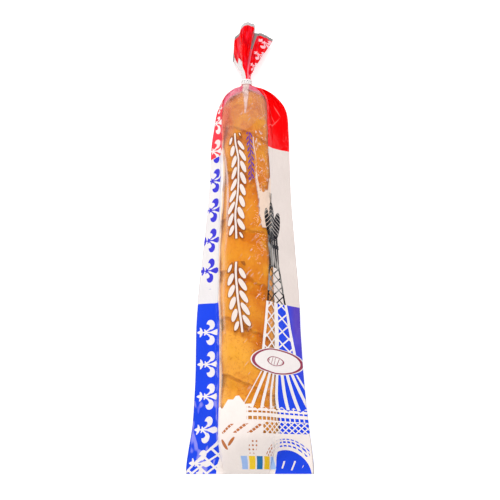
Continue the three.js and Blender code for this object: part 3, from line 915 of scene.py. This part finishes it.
# %% Printed film: sheaf
AXIS_S = 42               # the sheaf's middle line
a = s - AXIS_S
ears = (ellipse(a, t - 8, 5.6, 25)
        | ellipse(*turned(a + 8, t - 4, 12), 4.8, 19)
        | ellipse(*turned(a - 8, t - 4, -12), 4.8, 19))
kernel = abs(repeat(t + 0.8 * abs(a), 5.4)) > 0.3
awns = (0.45 - abs(a - 0.12 * (t - 30))) | (0.4 - abs(a + 0.2 * (t - 28))) | (0.4 - abs(a))
awns = awns & (t - 20) & (44 - t)
sheath = (8.6 - abs(a)) & (t + 48) & (-8 - t) & (abs(repeat(a + 0.04 * t, 3.3)) - 0.28)
tie = (9.6 - abs(a)) & (2.4 - abs(t + 22))
spread = 8 + 7.8 * ink.clamp(-46 - t, 0, 60)
stalks = (trellis(a, t, 12.4, 1, 0.95) & (spread + 0.8 - abs(a))) | (1.1 - abs(abs(a) - spread))
stalks = stalks & (t - BLUE_RIGHT) & (-46 - t)
dark = (((ears > 0) * kernel) | ((awns | sheath | tie | stalks) > 0)) * front
streak = ink.noise(ink.place((1, 0.35, 0.4), 0.5), 0.16, 2)
# Painted glare: grey streaks on the dark print.
glare_on_dark = ink.clamp(streak - 0.0025 * (t + 10), 0.5, 0.66) * (t > -78)
colour = ink.blend(dark, colour, ink.blend(glare_on_dark, BLACK, (150, 146, 142)))

spread = 14.5 + 9 * ink.clamp(BLUE_RIGHT - t, 0, 60)
crossing = ((trellis(a, t, 15.5, 1.2, 0.9) & (spread - abs(a))) | (1.7 - abs(abs(a) - spread))
            | (3 - abs(a - 0.5)))
crossing = crossing & (BLUE_RIGHT - t) & (t + 150)
depth = -128 - t
fan = a / (depth | 1)
rays = (1.9 - abs(repeat(fan + 0.5, 0.14)) * depth) & ((0.56 - abs(fan)) * 40)
rays = rays & (-174 - t) & (t + 216)
print("sheaf:", len(ink.tree.nodes), "nodes so far")

# %% [markdown]
# Below the sheaf the ground is white with a scalloped edge. Dashes, a woven band and arcs round a blue
# hill are let into it, and loose marks in the colour of bread lie on its left.

# %% Printed film: ground
scallop = 5 * abs(repeat(s + 45, 14)) / 7
rise = ink.clamp(20 - abs(s + 14), 0, 20) * 13
ground = (-213 - t - scallop + rise) > 0
rows = ((1.1 - abs(t + 220.5)) | (1.9 - abs(t + 227.5)) | (0.8 - abs(t + 215.6))) & (s + 1)
dashes = rows & (2 - abs(repeat(s, 5.4)))
weave = (6.3 - abs(t + 238.5 - 0.03 * s)) & -trellis(s, t + 2, 6.6, 0.85, 0.9) & (s - 17)
loose = (5 - abs(t + 239)) & (1.9 - abs(repeat(t - 0.8 * s, 12.6))) & (16 - s) & (s + 30)
loose = loose & (abs(repeat(t + 0.9 * s, 5.2)) - 0.5)
leaf = (ellipse(*turned(s + 26, t + 256, 35), 2.1, 7)
        | ellipse(*turned(s + 17, t + 253, -40), 1.8, 6))
crumbs = (1 - far(repeat(s, 4), repeat(t, 4.4))) & (4.5 - abs(s - 5 - 0.3 * (t + 262)))
crumbs = crumbs & (7 - abs(t + 259))
hill = ellipse(s - 48, t + 292, 24.5, 31)
arcs = (0.028 - abs(-hill - 0.15)) | (0.032 - abs(-hill - 0.28)) | (0.02 - abs(-hill - 0.38))
arcs = arcs & ((1.5 - abs(repeat(s + 0.3 * t, 4.6))) * 0.1) & (27 - abs(s - 45)) & (t + 268)
slits = (0.9 - abs(repeat(s - 0.5 * t, 11))) & (ellipse(s - 51, t + 278, 13, 5.5) * 8)
hill = ((hill & ((s - 31.4 - 0.325 * (t + 287)) * 0.1)) > 0) * (1 - (slits > 0))

cuts = (dashes | weave | arcs) > 0
ground = ground * (s > -WINDOW_HALF) * (1 - cuts) * (1 - hill)
corner_edge = -245 + 1.15 * (s + WINDOW_HALF) - t
corner = (trellis(s, t, 14, 1.5, 0.8) & (corner_edge + 2)) | (1.8 - abs(corner_edge))
corner = (corner & (-WINDOW_HALF - s)) > 0
pale = (((crossing | rays) > 0) | ground | corner) * front * body
marks = ((loose | leaf | crumbs | (arcs & (31 - s))) > 0) * (s > -WINDOW_HALF) * front * body
colour = ink.paint(
    colour,
    (pale, ink.blend(ground, WHITE, (246, 234, 228))),
    (marks, (190, 112, 62)),
    (hill * front, BLUE_INK))
print("ground:", len(ink.tree.nodes), "nodes so far")

# %% [markdown]
# A plain oval label with the outline of a bun sits on the sheaf, and a row of five plain patches lies
# near the weld. Over the window's right border a ragged white patch is painted glare on the film.

# %% Printed film: label, patches and painted glare
PATCH_TINTS = [(160, 190, 240), (245, 205, 30), (20, 112, 175), (235, 190, 20), (170, 200, 245)]
label = ellipse(s - 40, t + 161, 37, 15.5) * front
bun = ellipse(s - 38, t + 161, 13.5, 5.6)
scores = ((0.5 - abs(repeat(s - 0.45 * t, 5.4))) * 0.3) & (bun - 0.2)
lines = ((0.05 - abs(label - 0.09)) | (0.07 - abs(bun - 0.07)) | scores) > 0
colour = ink.paint(colour, (label > 0, WHITE), (lines * front, DULL_RED))
for number, tint in enumerate(PATCH_TINTS):
    patch = (3.5 - abs(s + 5.2 - 8.8 * number)) & (7 - abs(t + 275.5))
    colour = ink.blend((patch > 0) * front, colour, tint)
covered = covered | (dark | pale | marks | hill * front | (label > 0)) * body

tatter = ink.noise(ink.place((1, 0.5, 0.5)), 0.22, 4, 0.65) - 0.5
dip = ink.clamp((s - 17) & (39 - s), 0, 4)
# Painted glare: a ragged white patch over the window's right border.
glare_outline = (s - 23.2 + 0.14 * t + 7 * tatter) & (64 - 18 * dip - t + 22 * tatter) & (t + 2.5)
painted_glare = ink.clamp(glare_outline, 0, 1.2) * (s < WINDOW_HALF + 1) * front * body * (1 - dark)
colour = ink.blend(painted_glare, colour, (236, 209, 190))
covered = covered | (0.98 - 0.5 * abs(tatter)) * painted_glare
print("label and patches:", len(ink.tree.nodes), "nodes so far")

# %% [markdown]
# The tail is drawn by its columns: a clear slack strip, two red lobes, a pale fold with a grey block,
# and a red lobe with lilies. Its cut edge is a bare margin, painted grey as a painted dark reflection.
# Pink streaks on the red are painted highlights, and darker red streaks are painted shade.

# %% Printed film: tail
column = s / FLAT_HALF * (1 - 2 * back)
strip_to = (-0.12 - 0.41 * ink.clamp(t, 205, 214.6) - 0.23 * ink.clamp(t, 214.6, 227.7)
            - 0.2 * ink.clamp(t, 227.7, 250))
strip = (column < strip_to) * tail
fold = (column > 0.1) * (column < 0.33) * tail * front
lobe_lily = lily(*turned(0.5 * (s - 44), 1.65 * repeat(t - 240, 23), -20)) > 0
lobe_lily = lobe_lily * tail * front * (column > 0.3)
# Painted highlights: pink streaks along the folds.
pink_highlights = ink.clamp(ink.noise(ink.place((1, 0.2, 0.6)), 0.24, 2), 0.5, 0.7)
shaded = ink.clamp(ink.noise(ink.place((1, 0.14, 0.6), 0.1), 0.5, 2), 0.46, 0.62)
# Painted reflection: the bare margin is painted grey.
margin = (t > 282 - 12 * (column < -0.955) + 8 * (abs(column + 0.935) < 0.02)) * tail
tail_colour = ink.paint(
    ink.blend(0.35 * pink_highlights, RED_INK, (250, 90, 130)),
    (0.7 * shaded, (190, 0, 20)),
    (0.85 * fold, (246, 130, 150)),
    (fold * (t > 258), (150, 148, 146)),
    (lobe_lily, (244, 196, 204)),
    (strip, (236, 232, 230)),
    (margin, ink.blend(abs(column + 0.27) < 0.4, (152, 150, 148), (206, 203, 203))))
colour = ink.blend(tail, colour, tail_colour)
solid = (covered * body + tail) * (1 - 0.15 * margin) * (1 - 0.2 * strip)
print("tail:", len(ink.tree.nodes), "nodes so far")

# %% [markdown]
# Over the clear film, white and pink lie in places, most of it painted light: a painted pink sheen
# over the loaf's far end, a painted reflection on its dome on a faint white that grows towards the far
# end, a painted highlight on the pleat below the band, a flush on the left of the loaf's far end, a
# painted highlight down a crease on each side of the window, a painted reflection along the window's
# left border, painted glints, and painted highlights on fine slanting wrinkles. Each is a share of
# white, and the strongest one counts.

# %% Printed film: painted highlights and reflections on the clear film
mist = ink.noise(ink.place((1, 0.4, 0.5)), 0.12, 3)
blot = ink.noise(ink.place((1, 0.3, 0.5)), 0.3, 3, 0.6)
x, y = ink.split(ink.place())
# Painted sheen: pink over the film round the loaf's far end.
veil_y = y + 25.2 * ink.clamp(-x, 4, 40) + 15.4 * ink.clamp(x, -4, 40)
pink_sheen_veil = ink.clamp(veil_y + 7 * (mist - 0.5), 179, 186)
# Painted reflection: white over the loaf's dome, ending in an arc, on a faint white that grows towards
# the far end.
rim_y = 119.6 + 4 * (mist - 0.5) + 16 * ink.clamp(0.0028 * (x + 10) ** 2)
dome_reflection = 0.04 * ink.clamp(y - rim_y, 0, 1.5) + 0.01 * ink.clamp(y, -30, 90)
# Painted highlight: a white wedge on the pleat below the band.
pleat_highlight = 2 + 0.065 * (y - 143) - abs(x + 5.5) + 4 * (blot - 0.5)
pleat_highlight = ink.clamp(pleat_highlight & (0.35 * (y - 141)), 0, 1.8)
pleat_highlight = pleat_highlight * (0.42 + 0.36 * ink.clamp(y, 155, 185)) * (0.6 + 0.6 * ink.clamp(blot, 0.4, 0.6))
flush = 0.85 * ink.clamp(-s, 10, 36) * ink.clamp(t, 108, 136) * ink.clamp(mist, 0.3, 0.6)

# Painted highlight: a white line down a crease left of the window.
left_s = s + 22.7 + 14.3 * ink.clamp(t, 13, 100) + 12 * ink.clamp(t, 100, 140)
left_crease_highlight = ink.clamp(3 - abs(left_s + 7 * ink.clamp(-t, 0, 120)), 0, 2)
left_crease_highlight = left_crease_highlight * (0.12 + 0.36 * ink.clamp(t, -5, 40)) * ink.clamp(mist, 0.3, 0.55)
left_crease_highlight = left_crease_highlight * (t < 148) * (t > -130)
# Painted highlight: a white line down a crease on the window's right.
right_s = s - 15.5 + 3 * (mist - 0.5) - 5 * ink.clamp(-t, -60, -15)
right_crease_highlight = ink.clamp(1.3 - abs(right_s), 0, 1.2) * (t > 12) * (t < 112)
right_crease_highlight = 0.7 * right_crease_highlight * ink.clamp(mist, 0.35, 0.6)
glint = ink.clamp(ink.noise(ink.place((1, 0.5, 1), 0.4), 0.24, 3, 0.6), 0.6, 0.63)
glint = glint * ink.clamp(s, 12, 16) * (t > 55) * (t < 122)
# Painted highlights: thin white lines along fine slanting wrinkles.
run, over = turned(x, y, 52)
slanting = ink.node("CombineXYZ", {}, {0: run * 0.13, 1: over}).outputs[0]
wrinkle_glints = ink.clamp(ink.noise(slanting, 0.42, 2, 0.6), 0.63, 0.69) * ink.clamp(s, -8, 8)
# Painted reflection: a pale band on the steep film at the window's left border.
border = 0.8 * ink.clamp(-s, 34, 40) * (0.35 + ink.clamp(mist, 0.35, 0.6)) * (t < 130)
# All the painted highlights and reflections, with the flush, as one share of white.
haze_and_sheen = dome_reflection | 0.75 * pink_sheen_veil | pleat_highlight | left_crease_highlight | flush | border
haze_and_sheen = (haze_and_sheen | right_crease_highlight | 0.6 * glint | 0.5 * wrinkle_glints) * front * body
print("milky places:", len(ink.tree.nodes), "nodes so far")

# %% [markdown]
# Last come the shaders. Facets finer than the mesh are a bump. Clear film could be thin glass, but glass
# bends light and darkens the loaf below. So it is a transparent sheet with a gloss that grows where the
# film turns away. Mix Shaders then choose: a milky white for the painted highlights and reflections over
# clear film, ink over both, and on top the painted highlights on the red shoulder and the left crease.

# %% Printed film: shaders
facet_place = ink.place((1, 0.6, 1), 0.5)
push = ink.node("TexNoise", {}, {"Vector": facet_place, "Scale": 0.05}).outputs["Color"]
pushed = ink.node("VectorMath", {"operation": "ADD"}, {0: facet_place, 1: push}).outputs[0]
crease = ink.clamp(ink.cell_edge(pushed, 0.13), 0, 0.16)
facet = ink.bump(crease * 0.5 + ink.noise(facet_place, 0.12, 3) * 0.9, 0.8, 0.35)
printed = ink.principled(colour, 0.13, {"Normal": facet, "Specular IOR Level": 0.08})
clear = ink.node("BsdfTransparent", {}, {"Color": (0.985, 0.985, 0.985)}).outputs[0]
gloss = ink.node("BsdfAnisotropic", {}, {"Color": (1, 1, 1), "Roughness": 0.08, "Normal": facet})
facing = Num(ink, ink.node("LayerWeight", {}, {"Blend": 0.5, "Normal": facet}).outputs["Facing"])
sheet = ink.mix_shader(0.01 + 0.16 * facing ** 5, clear, gloss.outputs[0])

rosy = ink.clamp(pink_sheen_veil * (0.55 + 0.9 * ink.clamp(mist, 0.35, 0.65)) * (1 - ink.clamp(2 * pleat_highlight)))
milk_and_sheen_colour = ink.paint(
    ink.blend(border, (240, 214, 208), (255, 214, 170)),
    (rosy, (242, 124, 150)),
    (ink.clamp(flush * 5) * (1 - pink_sheen_veil), (232, 128, 102)))
milk_and_sheen = ink.principled(milk_and_sheen_colour, 0.6, {"Specular IOR Level": 0})
# Painted highlights: light streaks on the red shoulder, and the top of the left crease.
shoulder_highlights = (lens(x, y, (29, 169), (39, 152), 0.9) | lens(x, y, (39, 153), (21, 130), 0.8)
           | lens(x, y, (23, 161), (33, 139), 0.6))
fold_highlights = (left_crease_highlight * ink.clamp(t, 90, 104) | 0.2 * ink.clamp(shoulder_highlights, 0, 0.5)) * front
hazed_and_sheened = ink.mix_shader(haze_and_sheen, sheet, milk_and_sheen)
inked = ink.mix_shader(solid, hazed_and_sheened, printed)
film.data.materials.append(ink.end(ink.mix_shader(fold_highlights, inked, milk_and_sheen)))

# %% [markdown]
# The band is a strip of matt white plastic with a row of faint printed dots. The packed solid has its
# shape right, so it stays and only gets this finish. The dots are flat ink, so they are colour alone.

# %% Band
band = Finish("white band")
band_place = band.place()
band_x, band_y = band.split(band_place)
dots = ((0.62 - far(repeat(band_x, 2.1), band_y - NECK_Y - 0.7))
        | (0.5 - far(band_x % 2.9 - 1.4, band_y - NECK_Y + 1.2))) > 0
broken = band.noise(band_place, 0.5, 2) > 0.42
ripple = band.noise(band.place((1, 0.25, 1)), 1.6, 3)
band_colour = band.blend(dots * broken, (236, 231, 229), (96, 96, 102))
strip_skin = band.principled(band_colour, 0.45 + 0.2 * ripple, {"Normal": band.bump(ripple, 0.35, 0.5)})
band_material = band.end(strip_skin)
for material_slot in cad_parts["band"].material_slots:
    material_slot.material = band_material

# %% [markdown]
# Each piece rides the root body, and the plain bag solid it replaces is hidden. The floor is only a
# stage.

# %% Pieces in the frame
for piece, finish in ((loaf, "crust"), (film, "printed_film")):
    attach(piece, "root")
    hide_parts("bag")
    print(piece.name, "rides root, stands for the bag and wears", finish)

# %% [markdown]
# Soft studio light on a pale floor. A broad box overhead makes the crust glow, a lamp beyond the tail
# draws out its relief, and fills on both sides, one of them low on the left, keep the slack film light.
# A narrow panel on the right lights nothing and only draws the bright streak down the film's right
# flank. The floor glows a little, so that it stays as pale as paper below the pack.

# %% Floor
floor_finish = Finish("pale floor")
floor_skin = floor_finish.principled((0.8, 0.8, 0.8), 0.9, {
    "Specular IOR Level": 0.1, "Emission Color": (1.0, 1.0, 1.0), "Emission Strength": 0.5})
floor_mesh = bpy.data.meshes.new("floor")
floor_mesh.from_pydata([(-4, -4, 0), (4, -4, 0), (4, 4, 0), (-4, 4, 0)], [], [(0, 1, 2, 3)])
floor = bpy.data.objects.new("floor", floor_mesh)
bpy.context.scene.collection.objects.link(floor)
floor.data.materials.append(floor_finish.end(floor_skin))


# %% Lights
def softbox(name, watts, size, place, aim, lights=True, shines=False):
    """An area light. lights says whether it lights surfaces, and shines whether it shows as a gloss."""
    data = bpy.data.lights.new(name, "AREA")
    data.energy = watts
    data.shape, data.size, data.size_y = "RECTANGLE", *size
    box = bpy.data.objects.new(name, data)
    box.location = place
    box.rotation_euler = (Vector(aim) - Vector(place)).to_track_quat("-Z", "Y").to_euler()
    box.visible_diffuse, box.visible_glossy = lights, shines
    bpy.context.scene.collection.objects.link(box)


softbox("far lamp", 34.0, (0.9, 0.6), (-0.1, 1.9, 2.3), (0, -0.1, 0))
softbox("top box", 40.0, (2.8, 2.8), (0.0, 0.0, 3.0), (0, 0, 0))
softbox("left fill", 12.0, (1.6, 1.6), (-2.0, -0.8, 1.7), (0, 0, 0))
softbox("low left fill", 7.0, (1.8, 0.6), (-1.9, 0.1, 0.5), (0, 0, 0.02))
softbox("right fill", 13.0, (1.6, 1.6), (2.0, -0.6, 1.7), (0, 0, 0))
softbox("right panel", 1.6, (0.1, 1.2), (1.0, 0.42, 0.65), (0.02, 0.15, 0.03), lights=False, shines=True)
print("lights:", len(bpy.data.lights))

# %% [markdown]
# White surroundings fill the shade. Film is many clear layers deep, so a ray may pass 24 of them.

# %% Surroundings
world = bpy.data.worlds.new("studio white")
world.use_nodes = True
background = world.node_tree.nodes["Background"]
background.inputs["Color"].default_value = (1.0, 1.0, 1.0, 1.0)
background.inputs["Strength"].default_value = 0.3
bpy.context.scene.world = world
bpy.context.scene.view_settings.view_transform = "Standard"
bpy.context.scene.cycles.transparent_max_bounces = 24
print("surroundings at", background.inputs["Strength"].default_value)

# %% [markdown]
# The box of the packed solids was kept at the start, in CAD_BOX.
